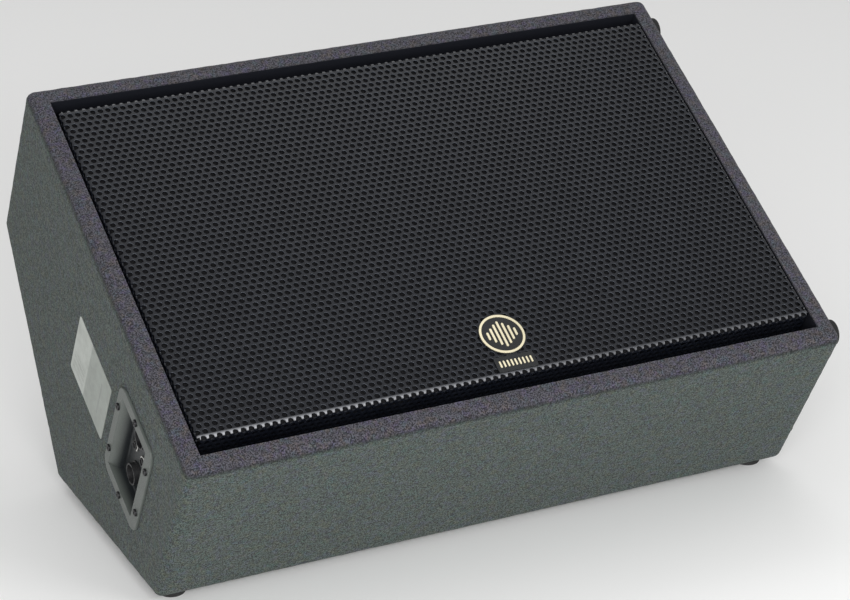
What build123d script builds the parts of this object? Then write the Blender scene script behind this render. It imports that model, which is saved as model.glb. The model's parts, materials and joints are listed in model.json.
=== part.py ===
from build123d import *
from math import cos, hypot, radians, sin, tan
import os

# Stage monitor wedge: a 15 inch two-way floor monitor in a carpeted plywood box.
#
# Everything is drawn lying flat, as the box lies on a bench with its grille up: X runs across the box,
# Y runs up the grille from its lower edge and Z stands out of the grille, with 0 on the face of the
# carpeted frame. The last section tips the whole box back by the monitor's angle onto its base.

# Driving dimensions, in millimetres
WIDTH = 715.0            # across both ends, over the carpet
FACE_LENGTH = 490.0      # up the grille side
SIDE_DEPTH = 206.0       # front and top panels, square to the grille
BASE_LENGTH = 292.0      # panel that the monitor stands on
MONITOR_ANGLE = 30.0     # between the grille and the base
BOARD = 18.0             # plywood
CARPET = 2.0             # glued carpet
EDGE_ROUND = 9.5         # rounded outer edges, over the carpet
RECESS = 34.0            # baffle behind the frame's face

GRILLE_PROUD = 2.0       # grille in front of the frame's face
GRILLE_SHEET = 1.5
GRILLE_SIDE_GAP = 3.0
GRILLE_END_GAP = 16.0
GRILLE_LIP = 13.0        # lips at the ends that are screwed to the baffle
FOAM = 6.0

FOOT_RADIUS = 15.0
FOOT_HEIGHT = 11.0
FOOT_INSET = 27.0
FOOT_FLOOR = 4.0         # rubber under the screw's head
FOOT_WELL = 6.0          # radius of the well for the screw's head
FOOT_SHANK = 2.2

WOOFER_X = -133.0
HORN_X = 200.0
MID_Y = FACE_LENGTH / 2


# Derived places
HALF = WIDTH / 2
WALL = CARPET + BOARD
INNER_HALF = HALF - WALL
BAFFLE_FRONT = -RECESS
BAFFLE_BACK = BAFFLE_FRONT - BOARD
ALL_Y = (-10.0, 600.0)
ALL_Z = (-500.0, 10.0)

BOTTOM_UP = (Align.CENTER, Align.CENTER, Align.MIN)
TOP_DOWN = (Align.CENTER, Align.CENTER, Align.MAX)

nodes = {}


# ---------------------------------------------------------------- helpers

def inset(outline, distance):
    """The outline moved in by distance on every side, with its corners kept sharp."""
    lines = []
    for here, after in zip(outline, outline[1:] + outline[:1]):
        run = Vector(*after) - Vector(*here)
        inward = Vector(run.Y, -run.X).normalized() * distance
        lines.append((Vector(*here) + inward, run))
    corners = []
    for (p, u), (q, v) in zip(lines[-1:] + lines[:-1], lines):
        corner = p + u * ((q - p).cross(v).Z / u.cross(v).Z)
        corners.append((corner.X, corner.Y))
    return corners


def prism(outline, x_from, x_to):
    """A side-view outline drawn across the box."""
    return extrude(Plane.YZ.offset(x_from) * Polygon(*outline, align=None), x_to - x_from, dir=(1, 0, 0))


def block(x_range, y_range, z_range):
    """A square block between three pairs of limits."""
    low = Vector(x_range[0], y_range[0], z_range[0])
    high = Vector(x_range[1], y_range[1], z_range[1])
    middle = (low + high) * 0.5
    size = high - low
    return Pos(middle.X, middle.Y, middle.Z) * Box(size.X, size.Y, size.Z)


def turned(profile, x=0.0, y=0.0):
    """A ring turned from an outline of (radius, z) points about an axis square to the baffle."""
    return Pos(x, y, 0) * revolve(Plane.XZ * Polygon(*profile, align=None), Axis.Z)


def ring(outer, inner, low, high, x=0.0, y=0.0):
    """A flat ring between two heights."""
    return turned([(inner, low), (outer, low), (outer, high), (inner, high)], x, y)


def disc(radius, low, high, x=0.0, y=0.0):
    return Pos(x, y, low) * Cylinder(radius, high - low, align=BOTTOM_UP)


def polar(radius, count, start=0.0):
    """Places evenly round a circle, each turned to face outwards."""
    return [Rot(0, 0, start + 360 * k / count) * Pos(radius, 0, 0) for k in range(count)]


def screw(head_radius, head_height, shank_radius, length):
    """A cross-head screw seen from its head, which stands on the plane z = 0."""
    body = Cylinder(head_radius, head_height, align=BOTTOM_UP)
    body = fillet(body.edges().group_by(Axis.Z)[-1], head_height * 0.4)
    body += Cylinder(shank_radius, length, align=TOP_DOWN)
    slot = Box(head_radius * 1.1, head_radius * 0.22, head_height, align=BOTTOM_UP)
    cross = Pos(0, 0, head_height * 0.5) * (slot + Rot(0, 0, 90) * slot)
    return body - cross


def group(solids):
    """Separate solids of one kind, kept together in one node."""
    return Compound(children=[piece for piece in solids])


# ---------------------------------------------------------------- cabinet outline

LEAN = radians(MONITOR_ANGLE)
REAR_CORNER = (BASE_LENGTH * cos(LEAN), -SIDE_DEPTH - BASE_LENGTH * sin(LEAN))
OUTLINE = [
    (0.0, 0.0),
    (FACE_LENGTH, 0.0),
    (FACE_LENGTH, -SIDE_DEPTH),
    REAR_CORNER,
    (0.0, -SIDE_DEPTH),
]
FACE_LOW, FACE_HIGH, TOP_BACK, REAR_LOW, FRONT_LOW = OUTLINE
ROOM_OUTLINE = inset(OUTLINE, WALL)


def rounded_box(skin):
    """The whole wedge, drawn in by skin on every side, with all its edges rounded."""
    body = prism(inset(OUTLINE, skin) if skin else OUTLINE, -HALF + skin, HALF - skin)
    return fillet(body.edges(), EDGE_ROUND - skin)


carpeted = rounded_box(0)
timber = rounded_box(CARPET)


# ---------------------------------------------------------------- fastener and foot places

def panel_plane(start, end, distance, x, lift=0.0):
    """A plane on a panel's outer face, facing out, at a distance from start towards end."""
    along = (Vector(*end) - Vector(*start)).normalized()
    spot = Vector(*start) + along * distance
    out = Vector(0, -along.Y, along.X)
    centre = Vector(x, spot.X, spot.Y) + out * lift
    return Plane(origin=centre, x_dir=(1, 0, 0), z_dir=out)


base_run = hypot(REAR_LOW[0] - FRONT_LOW[0], REAR_LOW[1] - FRONT_LOW[1])
rear_run = hypot(REAR_LOW[0] - TOP_BACK[0], REAR_LOW[1] - TOP_BACK[1])
foot_x = HALF - FOOT_INSET

base_places = [
    panel_plane(REAR_LOW, FRONT_LOW, along, side * foot_x)
    for along in (FOOT_INSET, base_run - FOOT_INSET)
    for side in (-1, 1)
]
rear_places = [
    panel_plane(TOP_BACK, REAR_LOW, along, side * foot_x)
    for along in (FOOT_INSET, rear_run - FOOT_INSET)
    for side in (-1, 1)
]
side_places = [
    Plane(origin=(HALF, y, z), x_dir=(0, 1, 0), z_dir=(1, 0, 0))
    for y in (FOOT_INSET, FACE_LENGTH - FOOT_INSET)
    for z in (-FOOT_INSET, FOOT_INSET - SIDE_DEPTH)
]

foot_shell = Cone(FOOT_RADIUS, FOOT_RADIUS - 1.5, FOOT_HEIGHT, align=BOTTOM_UP)
foot_shell = fillet(foot_shell.edges().group_by(Axis.Z)[-1], 1.5)
foot_shell -= Pos(0, 0, FOOT_FLOOR) * Cylinder(FOOT_WELL, FOOT_HEIGHT, align=BOTTOM_UP)
foot_shell -= Cylinder(FOOT_SHANK, FOOT_HEIGHT, align=BOTTOM_UP)
foot_screw = Pos(0, 0, FOOT_FLOOR) * screw(5, 2.6, FOOT_SHANK, 20)

all_foot_places = base_places + side_places + rear_places
foot_screws = group([place.location * foot_screw for place in all_foot_places])
nodes["base_feet"] = group([place.location * foot_shell for place in base_places])
nodes["side_feet"] = group([place.location * foot_shell for place in side_places])
nodes["rear_feet"] = group([place.location * foot_shell for place in rear_places])
nodes["foot_screws"] = foot_screws


# ---------------------------------------------------------------- connection dish on the left end

DISH_Y = 111.0
DISH_Z = -123.0
DISH_PLATE = (93.0, 131.5, 15.0)      # along Y, along Z, corner radius
DISH_PLATE_THICK = 2.5
DISH_GASKET = 0.5
DISH_WALL = 2.5
DISH_DEEP = 15.5                      # from the plate's outer face to the dish's floor
DISH_HALF_LONG = 53.0                 # half the opening along Z
DISH_LOW_Y = 79.5
DISH_HIGH_Y = 147.0
DISH_FLOOR_HIGH_Y = 138.0
DISH_ROLL = 3.0                       # bulge of the rolled side above its chord
DISH_DRAFT = 2.0
DISH_CORNER = 2.0                     # moulded radius round the foot of the walls
CUTOUT_GAP = 3.5                      # between the opening in the board and the hollow's low side
CUTOUT_HIGH_GAP = 1.0                 # on the high side, where the screws sit close
CUTOUT_END_GAP = 3.0
CUTOUT_RADIUS = 1.5

dish_face = -HALF - DISH_GASKET - DISH_PLATE_THICK
dish_floor = dish_face + DISH_DEEP
dish_ends = (DISH_Z - DISH_HALF_LONG, DISH_Z + DISH_HALF_LONG)


def on_left_end(x, y, z):
    """A place on the left end, its Z axis pointing out of the cabinet."""
    return Plane(origin=(x, y, z), x_dir=(0, 0, 1), z_dir=(-1, 0, 0)).location


def dish_section():
    """The hollow seen along Z: a flat floor, a steep low side and a high side rolled over from the plate."""
    foot = Vector(dish_floor, DISH_FLOOR_HIGH_Y)
    brow = Vector(dish_face, DISH_HIGH_Y)
    chord = brow - foot
    bulge = Vector(-chord.Y, chord.X).normalized() * DISH_ROLL
    ramp = ThreePointArc(foot, (foot + brow) * 0.5 + bulge, brow)
    rest = Polyline(
        (dish_face, DISH_HIGH_Y),
        (dish_face, DISH_LOW_Y),
        (dish_floor, DISH_LOW_Y + DISH_DRAFT),
        (dish_floor, DISH_FLOOR_HIGH_Y),
    )
    return make_face(ramp + rest)


hollow_length = dish_ends[1] - dish_ends[0]
dish_hollow = Pos(0, 0, dish_ends[0]) * extrude(dish_section(), hollow_length, dir=(0, 0, 1))
dish_hollow = fillet(dish_hollow.edges().group_by(Axis.X)[-1], DISH_CORNER)
dish_outer = extrude(offset(dish_section(), DISH_WALL), hollow_length + 2 * DISH_WALL, dir=(0, 0, 1))
dish_outer = Pos(0, 0, dish_ends[0] - DISH_WALL) * dish_outer
dish_outer &= block((dish_face + DISH_PLATE_THICK, 0), (0, FACE_LENGTH), (-SIDE_DEPTH - 50, 0))

plate_sketch = RectangleRounded(DISH_PLATE[1], DISH_PLATE[0], DISH_PLATE[2])
dish_plate = on_left_end(dish_face, DISH_Y, DISH_Z) * extrude(plate_sketch, -DISH_PLATE_THICK)
dish_plate = fillet(dish_plate.faces().sort_by(Axis.X)[0].edges(), 1.0)

DISH_SCREW_SPOTS = [(side * 40, along * 34) for side in (-1, 1) for along in (-1, 1)] + [(0, -60), (0, 60)]
dish_screw = screw(3.8, 2.0, 1.8, 18)
dish_screws = group([
    on_left_end(dish_face, DISH_Y + up, DISH_Z + along) * dish_screw for up, along in DISH_SCREW_SPOTS
])

# Connectors through the dish's floor
SOCKET_RADIUS = 11.2
SOCKET_BORE = 9.6
SOCKET_POST = 4.3
SOCKET_PROUD = 7.3
SOCKET_DEEP = 24.0
SOCKET_SPOTS = [(112.5, DISH_Z - 29.5), (112.5, DISH_Z + 29.5)]
JACK_BORE = 3.25
JACK_BUSH = 4.7
JACK_SPOTS = [(104.5, DISH_Z), (125.5, DISH_Z)]


def socket_barrel():
    """The outer ring of a round locking socket, with two key slots for the plug's lugs."""
    body = Pos(0, 0, SOCKET_PROUD) * Cylinder(SOCKET_RADIUS, SOCKET_PROUD + SOCKET_DEEP, align=TOP_DOWN)
    body += Cylinder(SOCKET_RADIUS + 1.5, 1.5, align=BOTTOM_UP)
    body -= Pos(0, 0, SOCKET_PROUD) * Cylinder(SOCKET_BORE, 60, align=TOP_DOWN)
    for place in polar(SOCKET_BORE, 2):
        body -= place * Pos(0, 0, SOCKET_PROUD) * Box(1.6, 3.0, 18, align=TOP_DOWN)
    return body


def socket_core():
    """The middle of a round locking socket: a centre post on a back plate with four solder tabs."""
    body = Pos(0, 0, -SOCKET_DEEP) * Cylinder(SOCKET_RADIUS, 4, align=TOP_DOWN)
    body += Pos(0, 0, 1) * Cylinder(SOCKET_POST, SOCKET_DEEP + 1, align=TOP_DOWN)
    body -= Pos(0, 0, 1) * Cylinder(1.8, 10, align=TOP_DOWN)
    for place in polar(6.0, 4, 45):
        body += place * Pos(0, 0, -SOCKET_DEEP - 4) * Box(0.8, 4.8, 7, align=TOP_DOWN)
    return body


def phone_jack():
    """A quarter-inch jack: a body behind the floor and a threaded bush through it."""
    body = Pos(0, 0, -DISH_WALL) * Box(15, 15.5, 22, align=TOP_DOWN)
    body += Pos(0, 0, 3.5) * Cylinder(JACK_BUSH, 8, align=TOP_DOWN)
    body -= Pos(0, 0, 3.5) * Cylinder(JACK_BORE, 24, align=TOP_DOWN)
    for shift in (-4, 0, 4):
        body += Pos(shift, 0, -DISH_WALL - 22) * Box(2.5, 0.8, 6, align=TOP_DOWN)
    return body


socket_barrels = group([on_left_end(dish_floor, y, z) * socket_barrel() for y, z in SOCKET_SPOTS])
socket_cores = group([on_left_end(dish_floor, y, z) * socket_core() for y, z in SOCKET_SPOTS])
jacks = group([on_left_end(dish_floor, y, z) * phone_jack() for y, z in JACK_SPOTS])
jack_nut = extrude(RegularPolygon(6.6, 6), 2.2) - Cylinder(JACK_BUSH, 10)
jack_nut = chamfer(jack_nut.edges().group_by(Axis.Z)[-1].filter_by(GeomType.LINE), 0.5)
jack_nuts = group([on_left_end(dish_floor, y, z) * jack_nut for y, z in JACK_SPOTS])

jack_dish = dish_plate + dish_outer - dish_hollow
for y, z in SOCKET_SPOTS:
    jack_dish -= on_left_end(dish_floor, y, z) * Cylinder(SOCKET_RADIUS, 20)
for y, z in JACK_SPOTS:
    jack_dish -= on_left_end(dish_floor, y, z) * Cylinder(JACK_BUSH, 20)
for piece in dish_screws.solids():
    jack_dish -= piece

cutout_y = (DISH_LOW_Y - CUTOUT_GAP, DISH_HIGH_Y + CUTOUT_HIGH_GAP)
cutout_z = (dish_ends[0] - CUTOUT_END_GAP, dish_ends[1] + CUTOUT_END_GAP)
dish_cutout = block((-HALF - 5, -INNER_HALF + 5), cutout_y, cutout_z)
dish_cutout = fillet(dish_cutout.edges().filter_by(Axis.X), CUTOUT_RADIUS)
gasket_plane = on_left_end(-HALF, DISH_Y, DISH_Z)
dish_gasket = gasket_plane * extrude(offset(plate_sketch, -1), DISH_GASKET) - dish_cutout
for piece in dish_screws.solids():
    dish_gasket -= piece

nodes["jack_dish"] = jack_dish
nodes["dish_gasket"] = dish_gasket
nodes["dish_screws"] = dish_screws
nodes["socket_barrels"] = socket_barrels
nodes["socket_cores"] = socket_cores
nodes["phone_jacks"] = jacks
nodes["jack_nuts"] = jack_nuts


# ---------------------------------------------------------------- specification label on the left end

LABEL_Y = (176.0, 272.0)
LABEL_DEPTH = (97.0, 179.0)
LABEL_THICK = 0.6
label_size = (LABEL_DEPTH[1] - LABEL_DEPTH[0], LABEL_Y[1] - LABEL_Y[0])
label_centre = on_left_end(-HALF, sum(LABEL_Y) / 2, -sum(LABEL_DEPTH) / 2)
nodes["spec_label"] = label_centre * extrude(RectangleRounded(*label_size, 3), LABEL_THICK)


# ---------------------------------------------------------------- woofer

BASKET_RADIUS = 194.0
WOOFER_CUT = 178.0
FLANGE = 6.0
GASKET = 4.0
CONE_OUT = 158.0
SURROUND_OUT = 181.5
COIL_IN = 38.1
COIL_OUT = 39.6

flange_top = BAFFLE_FRONT + FLANGE
gasket_top = flange_top + GASKET
seat_z = -120.0           # back of the basket, where the motor is bolted on
spider_z = -103.0
neck_z = -94.0            # where the cone meets the coil former
rim_z = flange_top        # where the cone meets the surround


def basket():
    """A cast frame: mounting flange, eight spokes, a ledge for the spider and a back ring."""
    profile = [
        (BASKET_RADIUS, BAFFLE_FRONT),
        (BASKET_RADIUS, flange_top),
        (172, flange_top),
        (172, BAFFLE_FRONT - 2),
        (106, spider_z),
        (88, spider_z),
        (88, spider_z - 3),
        (102, spider_z - 3),
        (98, seat_z),
        (60, seat_z),
        (60, seat_z - 5),
        (103, seat_z - 5),
        (111, spider_z),
        (176.5, BAFFLE_FRONT - 3),
        (176.5, BAFFLE_FRONT),
    ]
    body = turned(profile)
    window = Rot(0, 48, 0) * Box(60, 62, 58)
    for place in polar(139, 8, 22.5):
        body -= place * Pos(0, 0, -69) * window
    for place in polar(184, 8):
        body -= place * Cylinder(3.0, 200)
    return Pos(WOOFER_X, MID_Y, 0) * body


woofer_screw_places = [Pos(WOOFER_X, MID_Y, flange_top) * place for place in polar(184, 8)]
woofer_screws = group([place * screw(5.5, 3.2, 3.0, 24) for place in woofer_screw_places])

basket_body = basket()
gasket_ring = ring(BASKET_RADIUS, SURROUND_OUT, flange_top, gasket_top, WOOFER_X, MID_Y)
for place in woofer_screw_places:
    gasket_ring -= place * Cylinder(6.0, 40)

ROLL = 10.0
roll_mid = (CONE_OUT + SURROUND_OUT) / 2
half_roll = Pos(roll_mid, flange_top) * (Circle(ROLL) - Circle(ROLL - 1.2))
half_roll &= Pos(roll_mid, flange_top + ROLL / 2 + 0.6) * Rectangle(3 * ROLL, ROLL + 1.2)
half_roll += Pos(SURROUND_OUT - 3, flange_top + 0.6) * Rectangle(6, 1.2)
half_roll += Pos(CONE_OUT - 1.5, flange_top + 0.6) * Rectangle(8, 1.2)
surround = Pos(WOOFER_X, MID_Y, 0) * revolve(Plane.XZ * half_roll, Axis.Z)
for place in woofer_screw_places:
    surround -= place * Cylinder(6.0, 40)


def cone_z(radius):
    """Height of the cone's front face at a radius."""
    share = (radius - COIL_IN) / (CONE_OUT - COIL_IN)
    return neck_z + (rim_z - neck_z) * share


CONE_THICK = 1.4
cone = turned([
    (COIL_OUT - 0.9, cone_z(COIL_OUT)),
    (CONE_OUT - 6, rim_z - 2.4),
    (CONE_OUT - 6, rim_z),
    (CONE_OUT + 1, rim_z),
    (CONE_OUT + 1, rim_z - CONE_THICK),
    (CONE_OUT - 4, rim_z - 2.4 - CONE_THICK),
    (COIL_OUT - 0.9, cone_z(COIL_OUT) - CONE_THICK - 0.4),
], WOOFER_X, MID_Y)

CAP_RADIUS = 58.0
cap_seat = cone_z(CAP_RADIUS)
cap_ball = 96.0
cap_centre = cap_seat + 3.0 - (cap_ball ** 2 - CAP_RADIUS ** 2) ** 0.5
cap = Pos(0, 0, cap_centre) * (Sphere(cap_ball) - Sphere(cap_ball - 1.2))
cap &= disc(CAP_RADIUS, cap_seat + 1.4, 0)
dust_cap = Pos(WOOFER_X, MID_Y, 0) * cap

former = ring(COIL_IN + 0.6, COIL_IN, -131, cone_z(COIL_OUT) - 2.4)
winding = ring(COIL_OUT, COIL_IN + 0.6, -131, -119)
coil = Pos(WOOFER_X, MID_Y, 0) * (former + winding)

ridges = []
for step in range(8):
    inner = COIL_OUT - 0.6 + step * 6.6
    lift = 1.6 if step % 2 else -1.6
    ridges.append((inner, spider_z + 2.4 + lift))
ridges.append((90.0, spider_z + 0.0))
ridges.append((99.0, spider_z + 0.0))
upper = [(radius, height + 0.9) for radius, height in reversed(ridges)]
spider = turned(ridges + upper, WOOFER_X, MID_Y)

front_plate = ring(78, 40.4, seat_z - 13, seat_z - 5, WOOFER_X, MID_Y)
magnet = ring(100, 50, seat_z - 35, seat_z - 13, WOOFER_X, MID_Y)
pole = disc(96, seat_z - 43, seat_z - 35) + disc(37.3, seat_z - 36, seat_z - 4)
pole = Pos(WOOFER_X, MID_Y, 0) * (pole - Cylinder(12, 600))

terminal_block = block((97, 112), (-16, 16), (seat_z - 12, seat_z - 5.5))
for side in (-1, 1):
    terminal_block += block((112, 120), (side * 9 - 3, side * 9 + 3), (seat_z - 9.4, seat_z - 8.6))
terminals = Pos(WOOFER_X, MID_Y, 0) * terminal_block

nodes["woofer_basket"] = basket_body
nodes["woofer_gasket"] = gasket_ring
nodes["woofer_surround"] = surround
nodes["woofer_cone"] = cone
nodes["woofer_dust_cap"] = dust_cap
nodes["woofer_coil"] = coil
nodes["woofer_spider"] = spider
nodes["woofer_front_plate"] = front_plate
nodes["woofer_magnet"] = magnet
nodes["woofer_pole"] = pole
nodes["woofer_terminals"] = terminals
nodes["woofer_screws"] = woofer_screws


# ---------------------------------------------------------------- horn and compression driver

HORN_FLANGE = (250.0, 210.0)
HORN_MOUTH = (222.0, 182.0)
HORN_SHEET = 3.0
HORN_PLATE = 5.0
THROAT = 12.7
throat_z = -150.0

horn_front = BAFFLE_FRONT + HORN_PLATE
horn_stations = [
    (horn_front, *HORN_MOUTH, 24.0),
    (-62.0, 138.0, 112.0, 20.0),
    (-105.0, 62.0, 52.0, 16.0),
]


def horn_skin(extra):
    """The flare from its square mouth to its round throat, grown by extra on every side."""
    sections = [
        Plane.XY.offset(z) * RectangleRounded(x + 2 * extra, y + 2 * extra, corner + extra)
        for z, x, y, corner in horn_stations
    ]
    sections.append(Plane.XY.offset(throat_z) * Circle(THROAT + extra))
    return loft(sections, ruled=True)


horn_air = horn_skin(0)
horn_plate = Plane.XY.offset(BAFFLE_FRONT) * RectangleRounded(*HORN_FLANGE, 14)
horn = extrude(horn_plate, HORN_PLATE) + horn_skin(HORN_SHEET)
horn += disc(44, throat_z, throat_z + 6)
horn -= horn_air
HORN_SCREW_SPOTS = [(side * 115, up * 95) for side in (-1, 1) for up in (-1, 1)]
horn_screws = group([
    Pos(HORN_X + across, MID_Y + up, horn_front) * screw(4.6, 2.8, 2.2, 20) for across, up in HORN_SCREW_SPOTS
])
horn = Pos(HORN_X, MID_Y, 0) * horn
horn_cut = Plane.XY.offset(BAFFLE_BACK - 1) * RectangleRounded(236, 196, 26)
horn_cut = Pos(HORN_X, MID_Y, 0) * extrude(horn_cut, BOARD + 2)

plate_back = throat_z - 8
magnet_back = plate_back - 18
gap_back = magnet_back - 7
driver_front_plate = ring(60, THROAT, plate_back, throat_z)
driver_magnet = ring(62, 30, magnet_back, plate_back)
driver_pole = turned([(THROAT, plate_back), (24, plate_back), (24, plate_back - 5), (21, plate_back - 8),
                      (21, gap_back), (18, gap_back)])
driver_gap_plate = ring(60, 23, gap_back, magnet_back)
phase_plug = turned([(0, plate_back - 3), (4, plate_back - 7), (14, gap_back), (0, gap_back)])
phase_plug += Pos(0, 0, gap_back + 3) * Box(35, 1.6, 3)
phase_plug -= driver_pole

DOME = 38.0
DOME_RISE = 6.0
diaphragm_z = gap_back - 1.5
dome = Pos(0, 0, diaphragm_z - DOME_RISE + DOME) * (Sphere(DOME + 0.4) - Sphere(DOME))
dome &= disc(21.8, diaphragm_z - 12, diaphragm_z)
skirt = ring(22.2, 21.6, diaphragm_z - 0.6, magnet_back - 4)
driver_diaphragm = ring(22.2, 21.0, diaphragm_z - 0.9, diaphragm_z) + skirt + dome

cover_lip = gap_back - 4
driver_cover = turned([
    (58, gap_back),
    (58, cover_lip),
    (46, cover_lip - 14),
    (0, cover_lip - 14),
    (0, cover_lip - 11.5),
    (44, cover_lip - 11.5),
    (50, cover_lip - 4),
    (50, gap_back),
])
driver_bolts = group([
    Pos(HORN_X, MID_Y, throat_z + 6) * place * screw(4.2, 3.0, 2.5, 11) for place in polar(34, 4, 45)
])


def on_horn(shape):
    return Pos(HORN_X, MID_Y, 0) * shape


driver_front_plate = on_horn(driver_front_plate)
for piece in driver_bolts.solids():
    horn -= piece
    driver_front_plate -= piece
for piece in horn_screws.solids():
    horn -= piece

nodes["horn"] = horn
nodes["horn_screws"] = horn_screws
nodes["driver_front_plate"] = driver_front_plate
nodes["driver_magnet"] = on_horn(driver_magnet)
nodes["driver_pole"] = on_horn(driver_pole)
nodes["driver_gap_plate"] = on_horn(driver_gap_plate)
nodes["driver_phase_plug"] = on_horn(phase_plug)
nodes["driver_diaphragm"] = on_horn(driver_diaphragm)
nodes["driver_cover"] = on_horn(driver_cover)
nodes["driver_bolts"] = driver_bolts


# ---------------------------------------------------------------- reflex ports

PORT_IN = 40.0
PORT_OUT = 43.0
PORT_FLANGE = 49.0
PORT_LENGTH = 110.0
port_spots = [(HORN_X, 90.0), (HORN_X, FACE_LENGTH - 90.0)]
port_profile = [
    (PORT_IN, BAFFLE_FRONT - PORT_LENGTH),
    (PORT_OUT, BAFFLE_FRONT - PORT_LENGTH),
    (PORT_OUT, BAFFLE_FRONT),
    (PORT_FLANGE, BAFFLE_FRONT),
    (PORT_FLANGE, BAFFLE_FRONT + 2),
    (PORT_IN + 3, BAFFLE_FRONT + 2),
    (PORT_IN, BAFFLE_FRONT - 4),
]
nodes["port_tubes"] = group([turned(port_profile, x, y) for x, y in port_spots])


# ---------------------------------------------------------------- grille, foam and badge

GRILLE_BEND = 3.0
grille_half = INNER_HALF - GRILLE_SIDE_GAP
grille_low = WALL + GRILLE_END_GAP
grille_high = FACE_LENGTH - grille_low
grille_back = GRILLE_PROUD - GRILLE_SHEET
SIDE_FLANGE = 16.0
GRILLE_NOTCH = 4.0        # relief between the side flanges and the end walls
GRILLE_SCREW_X = (-270, 0, 270)


def grille_block(shrink, depth):
    """The folded tray's outer or inner block, with the fold's round along its front edges."""
    body = block(
        (shrink - grille_half, grille_half - shrink),
        (grille_low + shrink, grille_high - shrink),
        (depth, GRILLE_PROUD - shrink),
    )
    return fillet(body.edges().group_by(Axis.Z)[-1], GRILLE_BEND - shrink)


grille = grille_block(0, BAFFLE_FRONT) - grille_block(GRILLE_SHEET, BAFFLE_FRONT - 1)
for side in (-1, 1):
    edge = sorted((side * (grille_half + 1), side * (grille_half - 2 * GRILLE_SHEET)))
    notched = (grille_low + GRILLE_NOTCH, grille_high - GRILLE_NOTCH)
    grille -= block(edge, notched, (BAFFLE_FRONT - 1, GRILLE_PROUD - SIDE_FLANGE))
lip_z = (BAFFLE_FRONT, BAFFLE_FRONT + GRILLE_SHEET)
lip_x = (-grille_half, grille_half)
grille += block(lip_x, (grille_low - GRILLE_LIP, grille_low + GRILLE_SHEET), lip_z)
grille += block(lip_x, (grille_high - GRILLE_SHEET, grille_high + GRILLE_LIP), lip_z)

grille_screws = group([
    Pos(x, y, lip_z[1]) * screw(4.2, 2.4, 2.0, 16)
    for y in (grille_low - GRILLE_LIP / 2, grille_high + GRILLE_LIP / 2)
    for x in GRILLE_SCREW_X
])
foam_edge = GRILLE_SHEET + 0.5
grille_foam = block(
    (foam_edge - grille_half, grille_half - foam_edge),
    (grille_low + foam_edge, grille_high - foam_edge),
    (grille_back - FOAM, grille_back),
)
grille_foam = fillet(grille_foam.edges().group_by(Axis.Z)[-1], 1.5)

BADGE_X = 3.0
BADGE_Y = 84.5
BADGE_RADIUS = 24.0
BADGE_THICK = 1.6
TAG_Y = 49.5
TAG_SIZE = (43.0, 18.0)
tag = RectangleRounded(*TAG_SIZE, 2.5)
badge_plate = Pos(BADGE_X, BADGE_Y, GRILLE_PROUD) * Cylinder(BADGE_RADIUS, BADGE_THICK, align=BOTTOM_UP)
badge_plate += Pos(BADGE_X, TAG_Y, GRILLE_PROUD) * extrude(tag, BADGE_THICK)
badge_plate += block((BADGE_X - 6, BADGE_X + 6), (TAG_Y, BADGE_Y), (GRILLE_PROUD, GRILLE_PROUD + 1.0))
stud_spots = [(BADGE_X - 12, BADGE_Y), (BADGE_X + 12, BADGE_Y)]
for x, y in stud_spots:
    badge_plate += Pos(x, y, GRILLE_PROUD) * Cylinder(1.5, 5, align=TOP_DOWN)
    stud_hole = Pos(x, y, GRILLE_PROUD) * Cylinder(1.5, 30)
    grille -= stud_hole
    grille_foam -= stud_hole

BAR_HEIGHTS = (9, 17, 25, 31, 25, 17, 9)
BAR_PITCH = 4.9
TICK_PITCH = 4.2
emblem = Circle(BADGE_RADIUS - 0.6) - Circle(BADGE_RADIUS - 2.9)
for step, height in enumerate(BAR_HEIGHTS):
    emblem += Pos((step - 3) * BAR_PITCH, 0) * RectangleRounded(2.2, height, 1.0)
emblem_plane = Pos(BADGE_X, BADGE_Y, GRILLE_PROUD + BADGE_THICK)
tick = extrude(RectangleRounded(1.7, 7.5, 0.8), 0.6)
tag_plane = Pos(BADGE_X, TAG_Y, GRILLE_PROUD + BADGE_THICK)
ticks = [tag_plane * Pos(step * TICK_PITCH, 0, 0) * tick for step in range(-4, 5)]
badge_ring = emblem_plane * extrude(emblem, 0.8)
badge_emblem = group(list(badge_ring.solids()) + ticks)

for piece in grille_screws.solids():
    grille -= piece

nodes["grille"] = grille
nodes["grille_foam"] = grille_foam
nodes["grille_screws"] = grille_screws
nodes["badge_plate"] = badge_plate
nodes["badge_emblem"] = badge_emblem


# ---------------------------------------------------------------- crossover on the right end, inside

BOARD_Y = (170.0, 290.0)
BOARD_Z = (-265.0, -180.0)
SPACER = 10.0
board_outer = INNER_HALF - SPACER
board_inner = board_outer - 1.6
board_corners = [(y, z) for y in (BOARD_Y[0] + 6, BOARD_Y[1] - 6) for z in (BOARD_Z[0] + 6, BOARD_Z[1] - 6)]


def on_right_end(x, y, z):
    """A place on the inside of the right end, its Z axis pointing into the cabinet."""
    return Plane(origin=(x, y, z), x_dir=(0, 1, 0), z_dir=(-1, 0, 0)).location


crossover_board = block((board_inner, board_outer), BOARD_Y, BOARD_Z)
spacer = Cylinder(4, SPACER, align=BOTTOM_UP) - Cylinder(1.8, 3 * SPACER)
crossover_spacers = group([on_right_end(INNER_HALF, y, z) * spacer for y, z in board_corners])
crossover_screws = group([
    on_right_end(board_inner, y, z) * screw(3.2, 2.0, 1.8, 20) for y, z in board_corners
])
for piece in crossover_screws.solids():
    crossover_board -= piece

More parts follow.
